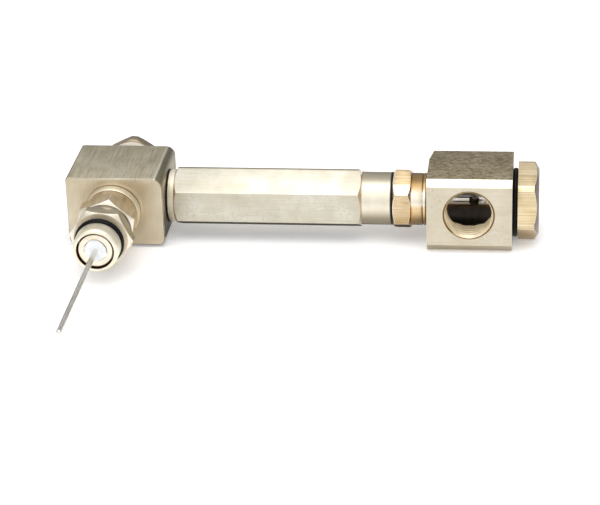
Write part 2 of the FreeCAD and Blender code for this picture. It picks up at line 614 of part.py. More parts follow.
# ---------------------------------------------------------------------------------------------
# Inlet nipple, its strainer, and the inlet block with its end plug
# ---------------------------------------------------------------------------------------------
def make_inlet_nipple():
    body = new_body("inlet_nipple", "tube")
    bar(body, "NippleBar", hexagon("hex_across", "nipple_turn"),
        NIPPLE_LEFT, f"{NIPPLE_RIGHT} - {NIPPLE_LEFT}")
    outline = [(NIPPLE_LEFT, "small_thread"), (NIPPLE_HEX, "small_thread")]
    outline += hex_outline(NIPPLE_HEX, NIPPLE_NECK, "hex_across", "hex_face_drop")
    outline += [
        (NIPPLE_NECK, "neck_radius"),
        (f"{NIPPLE_FLANGE} - flange_groove", "neck_radius"),
        (f"{NIPPLE_FLANGE} - flange_groove", "neck_radius - flange_groove"),
        (NIPPLE_FLANGE, "neck_radius - flange_groove"),
        (NIPPLE_FLANGE, "neck_radius"),
        (NIPPLE_FACE, "neck_radius"),
        (NIPPLE_FACE, "small_thread"),
        (NIPPLE_RIGHT, "small_thread"),
    ]
    turn_down(body, "NippleTurning", outline, "hex_across")
    ledge = f"({NIPPLE_RIGHT} - strainer_length)"
    bore(body, "NippleBore", [
        (NIPPLE_LEFT, "ball_seat"),
        (ledge, "ball_seat"),
        (ledge, "nipple_bore"),
        (NIPPLE_RIGHT, "nipple_bore"),
    ])

    strainer = new_body("inlet_strainer", "tube")
    spin(strainer, "Revolution", "StrainerWall", [
        (ledge, "nipple_bore - thread_clearance - strainer_wall"),
        (ledge, "nipple_bore - thread_clearance"),
        (NIPPLE_RIGHT, "nipple_bore - thread_clearance"),
        (NIPPLE_RIGHT, "0"),
        (f"{NIPPLE_RIGHT} - strainer_wall", "0"),
        (f"{NIPPLE_RIGHT} - strainer_wall", "nipple_bore - thread_clearance - strainer_wall"),
    ])


def make_inlet_block():
    body = new_body("inlet_block", "tube")
    front, back = "-inlet_front", "(inlet_depth - inlet_front)"
    top, bottom = "(inlet_height / 2 - inlet_drop)", "(-inlet_height / 2 - inlet_drop)"
    section = [
        (front, f"{top} - inlet_bevel_top"),
        (front, f"{bottom} + inlet_bevel"),
        (f"{front} + inlet_bevel", bottom),
        (f"{back} - inlet_bevel", bottom),
        (back, f"{bottom} + inlet_bevel"),
        (back, f"{top} - inlet_bevel"),
        (f"{back} - inlet_bevel", top),
        (f"{front} + inlet_bevel_top", top),
    ]
    bar(body, "InletBar", section, INLET_LEFT, "inlet_length")
    taper = new_sketch(body, "TaperSketch", "XY_Plane")
    closed_outline(taper, [
        (INLET_LEFT, f"{back} - taper_width"),
        (f"{INLET_LEFT} + taper_depth", back),
        (INLET_LEFT, back),
    ])
    cut = body.newObject("PartDesign::Pocket", "LeftTaper")
    cut.Profile = taper
    cut.Midplane = True
    cut.setExpression("Length", cells("2 * inlet_height"))
    body.Tip = cut
    bore(body, "ChamberBore", [
        (INLET_LEFT, HOLE),
        (CHAMBER_LEFT, HOLE),
        (CHAMBER_LEFT, "chamber_bore"),
        (f"{PLUG_TIP} - joint_gap", "chamber_bore"),
        (f"{PLUG_TIP} - joint_gap", "plug_thread + thread_clearance"),
        (INLET_RIGHT, "plug_thread + thread_clearance"),
    ])
    bore(body, "InletPort", [
        ("-inlet_front", "port_radius + port_countersink"),
        ("-inlet_front + port_countersink", "port_radius"),
        ("0", "port_radius"),
    ], "V_Axis", (f"{INLET_LEFT} + port_offset", None, "port_lift"))
    bore(body, "ScrewHole", [("0", "screw_hole"), (f"{back} - screw_hole_floor", "screw_hole")],
         "V_Axis", (f"{INLET_LEFT} + screw_hole_offset", None, "-screw_hole_drop"))


def make_end_plug():
    body = new_body("end_plug", "tube")
    bar(body, "PlugBar", hexagon("plug_across", "plug_turn"), PLUG_TIP, f"{PLUG_END} - {PLUG_TIP}")
    outline = [(PLUG_TIP, "plug_thread"), (PLUG_FACE, "plug_thread")]
    outline += hex_outline(PLUG_FACE, PLUG_END, "plug_across", "plug_face_drop",
                           bevel_start=False, corner="plug_corner")
    turn_down(body, "PlugTurning", outline, "plug_across")
    bore(body, "PlugBore", [(PLUG_TIP, "plug_bore"), (f"{PLUG_TIP} + plug_bore_depth", "plug_bore")])


def make_seals():
    for label, axis, start in (
        ("rear_cap_seal", "nozzle", BLOCK_BACK),
        ("tube_seal", "tube", "block_right"),
        ("nipple_tube_seal", "tube", TUBE_END),
        ("nipple_block_seal", "tube", NIPPLE_FACE),
    ):
        spin(new_body(label, axis), "Revolution", label + "Disc", [
            (start, HOLE),
            (start, "seal_radius"),
            (f"{start} + seal_thickness", "seal_radius"),
            (f"{start} + seal_thickness", HOLE),
        ])
    o_ring("nozzle_o_ring", "nozzle", "-ring_from_shoulder - ring_section / 2", "ring_radius", "ring_section")
    plug_ring = o_ring("end_plug_o_ring", "tube", f"{PLUG_FACE} - plug_seal_section / 2",
                       "plug_seal_radius", "plug_seal_section")
    plug_ring.setExpression("Placement.Base.z", cells("-plug_seal_drop"))


make_nozzle_body()
make_needle_group()
make_adapter()
make_nozzle_block()
make_rear_cap()
make_oil_tube()
make_check_valve()
make_inlet_nipple()
make_inlet_block()
make_end_plug()
make_seals()
doc.recompute()

# ---------------------------------------------------------------------------------------------
# Checks, then one STEP file for each piece
# ---------------------------------------------------------------------------------------------
LEAST_CUT = 1e-6     # mm3, less than which a cut is no cut
failed = [o.Label for o in doc.Objects if "Invalid" in o.State or "Error" in o.State]
if failed:
    sys.exit(f"failed to build: {failed}")
for cut in doc.Objects:
    if cut.TypeId not in ("PartDesign::Groove", "PartDesign::Pocket"):
        continue
    if not cut.Shape.Volume < cut.BaseFeature.Shape.Volume - LEAST_CUT:
        sys.exit(f"{cut.Label} cuts nothing")

os.makedirs("parts", exist_ok=True)
pieces = [o for o in doc.Objects if o.TypeId in ("PartDesign::Body", "Part::Sphere")]
for piece in pieces:
    shape = piece.Shape
    if shape.isNull() or not shape.isValid() or shape.Volume <= 0:
        sys.exit(f"{piece.Label} is not a valid solid")
    if len(shape.Solids) != 1:
        sys.exit(f"{piece.Label} has {len(shape.Solids)} solids")
    shape.exportStep(os.path.join("parts", piece.Label + ".step"))
    box = shape.BoundBox
    print(f"{piece.Label:22s} {shape.Volume:9.1f} mm3  x {box.XMin:7.2f} {box.XMax:7.2f}"
          f"  y {box.YMin:7.2f} {box.YMax:7.2f}  z {box.ZMin:7.2f} {box.ZMax:7.2f}")
print(f"{len(pieces)} pieces")
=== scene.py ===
"""Looks of an oil burner nozzle assembly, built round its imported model.

Metres, in the model's own frame: the nozzle points along -Y, the oil tube runs along +X, +Z is up.
"""
import json
import math

import bmesh
import bpy
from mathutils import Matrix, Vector, noise


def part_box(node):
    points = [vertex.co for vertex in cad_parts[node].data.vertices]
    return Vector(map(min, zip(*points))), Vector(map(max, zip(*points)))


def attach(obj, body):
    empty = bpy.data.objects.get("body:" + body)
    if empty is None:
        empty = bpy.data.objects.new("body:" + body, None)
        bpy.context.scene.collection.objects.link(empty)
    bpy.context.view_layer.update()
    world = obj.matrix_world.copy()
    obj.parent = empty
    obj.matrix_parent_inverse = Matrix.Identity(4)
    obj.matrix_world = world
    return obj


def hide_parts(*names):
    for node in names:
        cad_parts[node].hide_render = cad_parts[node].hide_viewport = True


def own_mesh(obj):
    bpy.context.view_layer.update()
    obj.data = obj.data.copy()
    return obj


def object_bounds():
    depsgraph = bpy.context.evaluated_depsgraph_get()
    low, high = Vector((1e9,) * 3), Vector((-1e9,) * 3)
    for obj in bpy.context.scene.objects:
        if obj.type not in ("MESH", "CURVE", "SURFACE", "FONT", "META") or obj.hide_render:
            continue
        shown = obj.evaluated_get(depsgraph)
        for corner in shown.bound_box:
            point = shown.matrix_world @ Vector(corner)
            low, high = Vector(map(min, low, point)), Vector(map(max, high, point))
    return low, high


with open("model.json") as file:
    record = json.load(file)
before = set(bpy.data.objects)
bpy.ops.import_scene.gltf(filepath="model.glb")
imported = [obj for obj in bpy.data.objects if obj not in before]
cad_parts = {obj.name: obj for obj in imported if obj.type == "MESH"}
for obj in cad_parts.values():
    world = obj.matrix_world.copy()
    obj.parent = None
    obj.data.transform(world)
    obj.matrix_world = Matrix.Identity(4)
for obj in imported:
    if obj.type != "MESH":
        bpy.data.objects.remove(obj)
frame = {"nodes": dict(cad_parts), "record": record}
cad_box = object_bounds()
MM = 0.001

# ---------------------------------------------------------------------------------------------
# Nozzle block. A cube sawn from square brass bar, milled on all sides and thinly nickel plated, so
# that it is a pale champagne colour. Its edges are rounded, the upper right one most. Saw and mill
# lines run along the bar: streaks from front to back on top, and a very faint grain in front.
# ---------------------------------------------------------------------------------------------


def in_mm(place):
    """A place that is given in metres, in millimetres."""
    return Vector([part / MM for part in place])


def corners_mm(node):
    """A node's lowest and highest corners at rest, in millimetres."""
    return [in_mm(corner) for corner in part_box(node)]


def colour(text):
    """An sRGB hex colour as the linear colour that Blender's sockets take."""
    parts = [int(text[k:k + 2], 16) / 255 for k in (1, 3, 5)]
    linear = [c / 12.92 if c <= 0.04045 else ((c + 0.055) / 1.055) ** 2.4 for c in parts]
    return (*linear, 1.0)


def add(tree, kind, inputs=(), **settings):
    """Adds a node to a tree. An input is a value or the output that feeds it."""
    node = tree.nodes.new(kind)
    for name, value in settings.items():
        setattr(node, name, value)
    for socket, value in dict(inputs).items():
        if isinstance(value, bpy.types.NodeSocket):
            tree.links.new(value, node.inputs[socket])
        else:
            node.inputs[socket].default_value = value
    return node


# The Mix node's sockets share their names, so they are picked by place.
SHARE, NUMBER_A, NUMBER_B, COLOUR_A, COLOUR_B, COLOUR_OUT = 0, 2, 3, 6, 7, 2


def new_material(name):
    """A material with its node tree and the shader in it."""
    material = bpy.data.materials.new(name)
    material.use_nodes = True
    tree = material.node_tree
    return material, tree, tree.nodes["Principled BSDF"]


def noise_scale(sizes_mm):
    """The scale that gives a noise pattern these sizes along X, Y and Z."""
    return Vector([1.0 / (size * MM) for size in sizes_mm])


def machined(name, tones, grain_mm, roughness=0.3, depth_mm=0.01, cloud_mm=5.0, cloud_share=0.35,
             spread=0.14):
    """Cut metal: tones are hex colours from dark to light, grain_mm the size of one grain line
    along X, Y and Z. Cloudy blotches of tarnish lie over the lines. A wide spread mixes the
    tones softly and a narrow one sets them apart. Real cutter lines are about 0.1 mm apart, too
    fine to show, so the grain is drawn 0.25 to 0.8 mm wide."""
    material, tree, shader = new_material(name)
    shader.inputs["Metallic"].default_value = 1.0
    place = add(tree, "ShaderNodeTexCoord").outputs["Object"]
    stretched = add(tree, "ShaderNodeMapping", {"Vector": place, "Scale": noise_scale(grain_mm)})
    lines = add(tree, "ShaderNodeTexNoise", {
        "Vector": stretched.outputs[0], "Scale": 1.0, "Detail": 5.0, "Roughness": 0.65})
    clouds = add(tree, "ShaderNodeTexNoise", {
        "Vector": place, "Scale": 1.0 / (cloud_mm * MM), "Detail": 3.0})
    both = add(tree, "ShaderNodeMix", {
        SHARE: cloud_share, NUMBER_A: lines.outputs[0], NUMBER_B: clouds.outputs[0]},
               data_type="FLOAT")
    ramp = add(tree, "ShaderNodeValToRGB", {"Fac": both.outputs[0]})
    ends = ramp.color_ramp.elements
    ends[0].position, ends[0].color = 0.5 - spread, colour(tones[0])
    ends[1].position, ends[1].color = 0.5 + spread, colour(tones[-1])
    for k, tone in enumerate(tones[1:-1], start=1):
        ends.new(0.5 - spread + 2 * spread * k / (len(tones) - 1)).color = colour(tone)
    tree.links.new(ramp.outputs[0], shader.inputs["Base Color"])
    dull = add(tree, "ShaderNodeMapRange", {
        "Value": lines.outputs[0], "From Min": 0.3, "From Max": 0.7,
        "To Min": roughness - 0.05, "To Max": roughness + 0.07})
    tree.links.new(dull.outputs[0], shader.inputs["Roughness"])
    bump = add(tree, "ShaderNodeBump", {
        "Height": lines.outputs[0], "Distance": depth_mm * MM, "Strength": 1.0})
    tree.links.new(bump.outputs[0], shader.inputs["Normal"])
    return material


def toned(material, tone, where, how_much):
    """Lays another tone over a material's own, where both outputs are high."""
    tree = material.node_tree
    base = tree.nodes["Principled BSDF"].inputs["Base Color"]
    amount = add(tree, "ShaderNodeMath", {0: where, 1: how_much}, operation="MULTIPLY")
    coat = add(tree, "ShaderNodeMix", {
        SHARE: amount.outputs[0], COLOUR_A: base.links[0].from_socket, COLOUR_B: colour(tone)},
               data_type="RGBA")
    tree.links.new(coat.outputs[COLOUR_OUT], base)


def marked(material, tone, mark_mm, share, strength=1.0, turn_deg=(0, 0, 0), patch_mm=8.0,
           patch_share=1.0):
    """Lays marks of another tone over a material. mark_mm is one mark's size along X, Y and Z,
    before it is turned. Patches gather the marks: patch_share 1 has them everywhere."""
    tree = material.node_tree
    place = add(tree, "ShaderNodeTexCoord").outputs["Object"]
    turned = add(tree, "ShaderNodeMapping", {
        "Vector": place, "Rotation": [math.radians(a) for a in turn_deg]})
    stretched = add(tree, "ShaderNodeMapping", {
        "Vector": turned.outputs[0], "Scale": noise_scale(mark_mm)})
    dots = add(tree, "ShaderNodeTexNoise", {
        "Vector": stretched.outputs[0], "Scale": 1.0, "Detail": 2.0})
    spots = add(tree, "ShaderNodeMapRange", {
        "Value": dots.outputs[0], "From Min": 0.70 - share, "From Max": 0.74 - share})
    patches = add(tree, "ShaderNodeTexNoise", {
        "Vector": place, "Scale": 1.0 / (patch_mm * MM), "Detail": 2.0})
    gathered = add(tree, "ShaderNodeMapRange", {
        "Value": patches.outputs[0], "From Min": 0.72 - 0.5 * patch_share,
        "From Max": 0.78 - 0.5 * patch_share, "To Max": strength})
    toned(material, tone, spots.outputs[0], gathered.outputs[0])


def ringed(material, tone, along, centre_mm, from_mm, to_mm, blur_mm, strength=1.0):
    """Lays another tone over a material, where the distance from centre_mm is between from_mm
    and to_mm. along has a 1 for each axis that the distance is measured in."""
    tree = material.node_tree
    place = add(tree, "ShaderNodeTexCoord").outputs["Object"]
    apart = add(tree, "ShaderNodeVectorMath", {0: place, 1: Vector(centre_mm) * MM},
                operation="SUBTRACT")
    kept = add(tree, "ShaderNodeVectorMath", {0: apart.outputs[0], 1: along}, operation="MULTIPLY")
    away = add(tree, "ShaderNodeVectorMath", {0: kept.outputs[0]}, operation="LENGTH")
    inner = add(tree, "ShaderNodeMapRange", {
        "Value": away.outputs["Value"], "From Min": (from_mm - blur_mm) * MM,
        "From Max": from_mm * MM}, interpolation_type="SMOOTHSTEP")
    outer = add(tree, "ShaderNodeMapRange", {
        "Value": away.outputs["Value"], "From Min": to_mm * MM, "From Max": (to_mm + blur_mm) * MM,
        "To Min": strength, "To Max": 0.0}, interpolation_type="SMOOTHSTEP")
    toned(material, tone, inner.outputs[0], outer.outputs[0])


def banded(material, *bands):
    """Lays straight bands over a material, one after the other. Each is its tone, the axis that
    it lies across, its middle, half its width and its blur in mm, and its strength."""
    for tone, axis, middle, half_width, blur, strength in bands:
        along = [float(axis == letter) for letter in "XYZ"]
        ringed(material, tone, along, [middle * part for part in along], 0.0, half_width, blur,
               strength)


def paint(piece, material):
    """Gives the whole piece one material."""
    piece.data.materials.clear()
    piece.data.materials.append(material)


# How much of a face's normal lies along an axis, on a flat across it and on a bevel.
FLAT = 0.95
BEVEL_FROM, BEVEL_TO = 0.3, 0.97


def paint_faces(piece, material, chosen):
    """Gives a material to the faces that chosen(middle in mm, normal) picks."""
    piece.data.materials.append(material)
    for face in piece.data.polygons:
        if chosen(face.center / MM, face.normal):
            face.material_index = len(piece.data.materials) - 1


def put(name, data):
    """A new object in the scene."""
    thing = bpy.data.objects.new(name, data)
    bpy.context.scene.collection.objects.link(thing)
    return thing


def welded(mesh, within_mm=0.002):
    """A bmesh of a mesh, whose points that lie together are one."""
    work = bmesh.new()
    work.from_mesh(mesh)
    bmesh.ops.remove_doubles(work, verts=work.verts, dist=within_mm * MM)
    return work


def plain_mesh(piece):
    """Turns a piece with modifiers into a plain mesh with smooth curves and crisp edges."""
    ready = piece.evaluated_get(bpy.context.evaluated_depsgraph_get())
    mesh = bpy.data.meshes.new_from_object(ready)
    piece.modifiers.clear()
    piece.data = mesh
    mesh.shade_smooth()
    mesh.set_sharp_from_angle(angle=math.radians(30))


def eased(node, body, ease_mm, material, edge, rounded=None, round_mm=0.0):
    """A copy of a node in its place. A file or a tumbler has eased its sharp edges, and wear has
    given them a finish of their own, which on most pieces is painted paler still as a highlight.
    rounded(point in mm) picks the edges that are turned to a larger radius, round_mm."""
    sharp_angle = math.radians(25)
    mesh = frame["nodes"][node].data.copy()
    work = welded(mesh)
    if rounded:
        sharp = [e for e in work.edges if e.calc_face_angle(0) > sharp_angle
                 and all(rounded(v.co / MM) for v in e.verts)]
        bmesh.ops.bevel(work, geom=sharp, offset=round_mm * MM, segments=5, profile=0.5,
                        affect="EDGES")
    bmesh.ops.dissolve_limit(work, angle_limit=math.radians(0.3), verts=work.verts,
                             edges=work.edges)
    for face in work.faces:
        face.material_index = 0
    work.to_mesh(mesh)
    work.free()
    piece = put(node + "_finished", mesh)
    paint(piece, material)
    mesh.materials.append(edge)
    bevel = piece.modifiers.new("eased edges", "BEVEL")
    bevel.width = ease_mm * MM
    bevel.segments = 2
    bevel.limit_method = "ANGLE"
    bevel.angle_limit = sharp_angle
    bevel.material = 1
    plain_mesh(piece)
    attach(piece, body)
    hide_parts(node)
    return piece


block_low, block_high = corners_mm("nozzle_block")
washer_low, washer_high = corners_mm("adapter_washer")
# The bright line on the rounding is a painted highlight.
HIGHLIGHT_LINE_INSET = 1.95  # from the block's right side to a bright line where the rounding sets in

# Matt sides with faint lines from front to back, and painted shade that darkens them towards the
# bottom.
milled_side = machined("milled nickel plated brass, block sides", ["#776d58", "#918770", "#aaa089"],
                       grain_mm=(0.5, 9.0, 9.0), roughness=0.42, cloud_mm=7.0)
banded(milled_side, ("#40382a", "Z", block_low.z, 2.0, 10.0, 0.85))

# A soft, even champagne front, with a little painted brown shade round the washer's foot.
milled_front = machined("milled nickel plated brass, block front", ["#bcb098", "#c9bda5", "#d5cbb5"],
                        grain_mm=(0.6, 4.0, 6.0), roughness=0.42, cloud_mm=6.0, cloud_share=0.6,
                        spread=0.2)
ringed(milled_front, "#a98f66", (1, 0, 1), (0, 0, 0), 0.0, washer_high.x + 0.1, 0.3, strength=0.4)

# Fine saw lines from front to back, with brown and bluish streaks among them.
milled_top = machined("milled nickel plated brass, block top", ["#b3a98d", "#d2c8ad", "#e4dcc5"],
                      grain_mm=(0.28, 14.0, 9.0), roughness=0.4, cloud_mm=6.0)
marked(milled_top, "#8d8067", (0.3, 6.0, 3.0), share=0.07, strength=0.5)
marked(milled_top, "#c6cdcb", (0.5, 5.0, 3.0), share=0.09, strength=0.5, patch_mm=7.0,
       patch_share=0.5)

# The rounded edge is painted darker than the top, as shade, and a painted highlight, a thin bright
# line, parts the two.
shaded_rounded_side = machined("milled nickel plated brass, rounded edge in painted shade", ["#726a57", "#88806b", "#9b937f"],
                        grain_mm=(1.5, 12.0, 9.0), roughness=0.42, cloud_mm=7.0)
for material in (shaded_rounded_side, milled_top):
    banded(material, ("#ffffff", "X", block_high.x - HIGHLIGHT_LINE_INSET, 0.1, 0.08, 0.55))

# Edges that handling has polished, painted paler still as a highlight: a hairline of light round the
# flats of the larger pieces.
worn_edge_and_highlight = machined("plating rubbed bright on the edges", ["#e2dac8", "#f0eadc", "#faf7ef"],
                     grain_mm=(0.8, 0.8, 0.8), roughness=0.3)

# The faces of the rounded edge lean both to the right and upwards.
block = eased("nozzle_block", "housing", 0.15, milled_side, worn_edge_and_highlight)
paint_faces(block, shaded_rounded_side, lambda middle, normal:
            normal.x > 0.02 and normal.z > 0.02 and middle.z > 0.0)
paint_faces(block, milled_front, lambda middle, normal: normal.y < -FLAT)
paint_faces(block, milled_top, lambda middle, normal: normal.z > FLAT)

# ---------------------------------------------------------------------------------------------
# Nozzle adapter and washer. The adapter is turned from 14 mm hexagon bar and plated like the
# block; it screws into the block against a turned washer with a bevelled rim.
# ---------------------------------------------------------------------------------------------

# Drawn grain along the bar, warm champagne, with a painted dark line of shade where the neck meets
# the washer.
drawn_plated = machined("drawn and plated brass, adapter", ["#bba787", "#d2bf9e", "#e0d0b3"],
                        grain_mm=(0.8, 9.0, 0.8), roughness=0.42, depth_mm=0.005)
banded(drawn_plated, ("#7d6848", "Y", washer_low.y, 0.25, 0.3, 0.9))

# Turned bevels at the ends of the hexagons: smoother than the drawn flats, and paler, partly as a
# painted highlight.
bright_cut_and_highlight = machined("freshly cut brass on turned bevels", ["#ddd2bc", "#e8dfcd", "#f1ebdf"],
                      grain_mm=(2.0, 0.4, 2.0), roughness=0.3)
adapter = eased("nozzle_adapter", "housing", 0.12, drawn_plated, worn_edge_and_highlight)
paint_faces(adapter, bright_cut_and_highlight, lambda middle, normal: -BEVEL_TO < normal.y < -BEVEL_FROM)

# A pale ring with a painted highlight, a white line, on its rim, and a painted dark line of shade at
# its joint against the block.
turned_washer = machined("turned brass, washer", ["#dccdaf", "#ebdfc4", "#f6ecd6"],
                         grain_mm=(5.0, 0.3, 5.0), roughness=0.42, depth_mm=0.005)
banded(turned_washer,
       ("#fbf8f0", "Y", washer_high.y - 0.75, 0.25, 0.25, 1.0),
       ("#8d7550", "Y", washer_high.y, 0.1, 0.2, 0.9))
eased("adapter_washer", "housing", 0.1, turned_washer, turned_washer)

# ---------------------------------------------------------------------------------------------
# Nozzle body, screwed to the adapter, with its O-ring and the rings in its mouth. The spigot is
# finely turned, the O-ring is moulded nitrile rubber, and the carrier that slides in the mouth is
# raw brass gone coppery at the edge, with a white PTFE bush swaged into it.
# ---------------------------------------------------------------------------------------------
SPIGOT_BACK = 0.0    # the O-ring's groove lies behind this
HEXAGON_FRONT = 3.0  # the bevel and then the flats of the hexagon lie behind this
MOUTH_FRONT = -3.0   # the edges of the mouth lie in front of this
MOUTH_RADIUS = 4.8   # a little more than the bore that the carrier slides in
GROOVE_HALF = 0.8    # half the width of the dark groove between body and adapter

# Rings of the lathe tool on a champagne ground, with painted shade dark in the groove before the
# adapter.
turned_body = machined("turned and plated brass, nozzle body", ["#a3987d", "#bdb299", "#d0c6b0"],
                       grain_mm=(6.0, 0.35, 6.0), roughness=0.34)
adapter_front = corners_mm("nozzle_adapter")[0].y
banded(turned_body, ("#5e5340", "Y", adapter_front - GROOVE_HALF, GROOVE_HALF, 0.1, 0.9))

# The spigot is smoother and nearly cream.
turned_front = machined("finely turned brass, spigot", ["#e6dcc2", "#f1e9d4", "#f9f4e6"],
                        grain_mm=(5.0, 0.3, 5.0), roughness=0.45, depth_mm=0.004)

# The face that the O-ring lies against is matt, so that the black ring stands out on it.
dull_face = machined("turned brass, face behind the O-ring", ["#d8caae", "#e6dac2", "#f2e8d4"],
                     grain_mm=(5.0, 0.3, 5.0), roughness=0.7, depth_mm=0.004)

# Brown tarnish inside the mouth, darkened further as painted shade, seen as a dark ring round the
# carrier.
tarnished = machined("tarnished brass in painted shade, bore of the spigot", ["#6b4229", "#8a5b3c", "#a87a58"],
                     grain_mm=(0.8, 0.8, 0.8), roughness=0.4)


def outer_mouth(point):
    """Whether a point is on the outer front edges of the spigot."""
    return point.y < MOUTH_FRONT and math.hypot(point.x, point.z) > MOUTH_RADIUS + 0.2


nozzle = eased("nozzle_body", "housing", 0.12, turned_body, worn_edge_and_highlight, rounded=outer_mouth,
               round_mm=0.4)
paint_faces(nozzle, bright_cut_and_highlight, lambda middle, normal:
            middle.y > HEXAGON_FRONT and -BEVEL_TO < normal.y < -BEVEL_FROM)
paint_faces(nozzle, dull_face, lambda middle, normal:
            middle.y < HEXAGON_FRONT + 1.0 and normal.y < -FLAT)
paint_faces(nozzle, turned_front, lambda middle, normal: middle.y < SPIGOT_BACK)
paint_faces(nozzle, tarnished, lambda middle, normal:
            middle.y < SPIGOT_BACK and abs(normal.y) < 0.5
            and math.hypot(middle.x, middle.z) < MOUTH_RADIUS)


def moulded(name, tones, ends, patch_mm, detail, roughness, ior):
    """Rubber or plastic: soft patches of two tones, which begin and end at these noise levels."""
    material, tree, shader = new_material(name)
    place = add(tree, "ShaderNodeTexCoord").outputs["Object"]
    patches = add(tree, "ShaderNodeTexNoise", {
        "Vector": place, "Scale": 1.0 / (patch_mm * MM), "Detail": detail})
    ramp = add(tree, "ShaderNodeValToRGB", {"Fac": patches.outputs[0]})
    for element, tone, level in zip(ramp.color_ramp.elements, tones, ends):
        element.position, element.color = level, colour(tone)
    tree.links.new(ramp.outputs[0], shader.inputs["Base Color"])
    shader.inputs["Roughness"].default_value = roughness
    shader.inputs["IOR"].default_value = ior
    return material


# Nearly black, a little dusty, with a soft sheen.
nitrile = moulded("moulded nitrile rubber", ("#060607", "#232426"), (0.5, 0.95), patch_mm=0.8,
                  detail=4.0, roughness=0.4, ior=1.25)
paint(frame["nodes"]["nozzle_o_ring"], nitrile)

# The carrier's face shows fine turning rings, and its rim a coppery line.
raw_ring = machined("turned raw brass, needle carrier", ["#e6dac4", "#f3e9d6", "#fbf4e6"],
                    grain_mm=(4.0, 0.3, 4.0), roughness=0.35, depth_mm=0.004)
copper_edge = machined("tarnished brass, carrier edge", ["#5e3a26", "#7d5138", "#9c6c4c"],
                       grain_mm=(0.8, 0.8, 0.8), roughness=0.35)
eased("needle_carrier", "needle_unit", 0.1, raw_ring, copper_edge)

# Waxy white with a faint blue cast.
ptfe = moulded("white PTFE", ("#ebf0f3", "#fafcfd"), (0.35, 0.6), patch_mm=0.9, detail=3.0,
               roughness=0.45, ior=1.38)

# The swaging pushed the soft bush out unevenly, so that its rim is a little ragged.
BUSH_RIM = 2.2 * MM  # the points further out than this are pushed
LUMP = 1.1 * MM      # the size of one lump along the rim
bush_mesh = frame["nodes"]["needle_bush"].data.copy()
work = welded(bush_mesh)
for vertex in work.verts:
    if math.hypot(vertex.co.x, vertex.co.z) > BUSH_RIM:
        ragged = 1 + 0.09 * noise.noise(Vector((vertex.co.x, 0, vertex.co.z)) / LUMP)
        vertex.co.x *= ragged
        vertex.co.z *= ragged
work.to_mesh(bush_mesh)
work.free()
bush_mesh.shade_smooth()
bush_mesh.set_sharp_from_angle(angle=math.radians(40))
bush = put("needle_bush_swaged", bush_mesh)
paint(bush, ptfe)
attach(bush, "needle_unit")
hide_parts("needle_bush")

# ---------------------------------------------------------------------------------------------
# Needle. A straight length of drawn stainless wire, ground round at its tip. The swaged bush
# grips it, so that it slides in and out with the carrier.
# ---------------------------------------------------------------------------------------------

# Bright drawn wire with brownish streaks of dried oil along it.
needle_wire = machined("drawn stainless wire, needle", ["#cfcbc1", "#e3e0d9", "#f3f1ec"],
                       grain_mm=(0.25, 9.0, 0.25), roughness=0.24)
marked(needle_wire, "#8a7c66", (0.4, 5.0, 0.4), share=0.1, strength=0.45)
paint(frame["nodes"]["nozzle_needle"], needle_wire)

# ---------------------------------------------------------------------------------------------
# Rear cap. Turned from 14 mm hexagon bar, with a round neck and a thin flange, and left as raw
# brass. It screws into the back of the block and closes it.
# ---------------------------------------------------------------------------------------------

# Dull, greyed brass with fine rings, and a painted highlight on its turned rim.
raw_cap = machined("turned raw brass, rear cap", ["#8f806a", "#aa9b86", "#bfb19d"],
                   grain_mm=(6.0, 0.5, 6.0), roughness=0.42)
CAP_RIM = 6.68  # radius where the bright rim of its end face begins
ringed(raw_cap, "#f7f3ea", (1, 0, 1), (0, 0, 0), CAP_RIM, CAP_RIM + 0.22, 0.1)
eased("rear_cap", "housing", 0.12, raw_cap, raw_cap)

# ---------------------------------------------------------------------------------------------
# Oil tube. Drawn 14 mm hexagon bar, bored through and plated, and screwed between block and
# nipple. Its flats have the fine bluish-grey scratches and specks of handling, and its collar and
# round end are turned smooth.
# ---------------------------------------------------------------------------------------------
HEX_FROM, HEX_TO = 15.1, 62.8  # the flats lie between the collar and the round end
HEX_CORNER = 8.1               # height of the hexagon's upper corner
tube_end = corners_mm("oil_tube")[1].x

# Pale, slightly cloudy flats with long drawn lines, and a painted dark line of shade along the upper
# corner.
drawn_tube = machined("drawn and plated brass, oil tube", ["#bdb6a3", "#c9c3b2", "#d5d0c3"],
                      grain_mm=(12.0, 0.5, 0.5), roughness=0.33, depth_mm=0.004, cloud_mm=6.0,
                      cloud_share=0.6)
marked(drawn_tube, "#a2aab8", (2.2, 0.3, 0.35), share=0.1, strength=0.2, patch_mm=8.0,
       patch_share=0.5)

# The front flat has more of the bluish marks: fine slanting scratches and short specks.
scratched_tube = drawn_tube.copy()
scratched_tube.name = "drawn and plated brass, scratched facet of the tube"
marked(scratched_tube, "#8089a0", (1.8, 0.16, 0.16), share=0.08, strength=0.5,
       turn_deg=(0, 28, 12), patch_mm=6.0, patch_share=0.5)
marked(scratched_tube, "#7a849a", (0.35, 0.28, 0.28), share=0.065, strength=0.6, patch_mm=5.0,
       patch_share=0.55)
# Painted shade: the dark line along the hexagon's upper corner.
banded(drawn_tube, ("#6b6350", "Z", HEX_CORNER, 0.15, 0.15, 0.85))

# The round end: smooth, with painted shade above and below, a brown line of painted shade at the foot
# of the hexagon and a dark one at its end.
turned_tube = machined("turned and plated brass, tube ends", ["#dfd7c3", "#e5ddca", "#ebe4d3"],
                       grain_mm=(3.0, 9.0, 9.0), roughness=0.4, depth_mm=0.001)
banded(turned_tube,
       ("#8f8468", "Z", 7.2, 0.7, 1.2, 0.5),
       ("#a8824a", "X", HEX_TO + 0.15, 0.15, 0.15, 0.8),
       ("#5f5848", "X", tube_end, 0.12, 0.15, 0.8),
       ("#8a7f69", "Z", -7.0, 3.5, 4.0, 0.85))

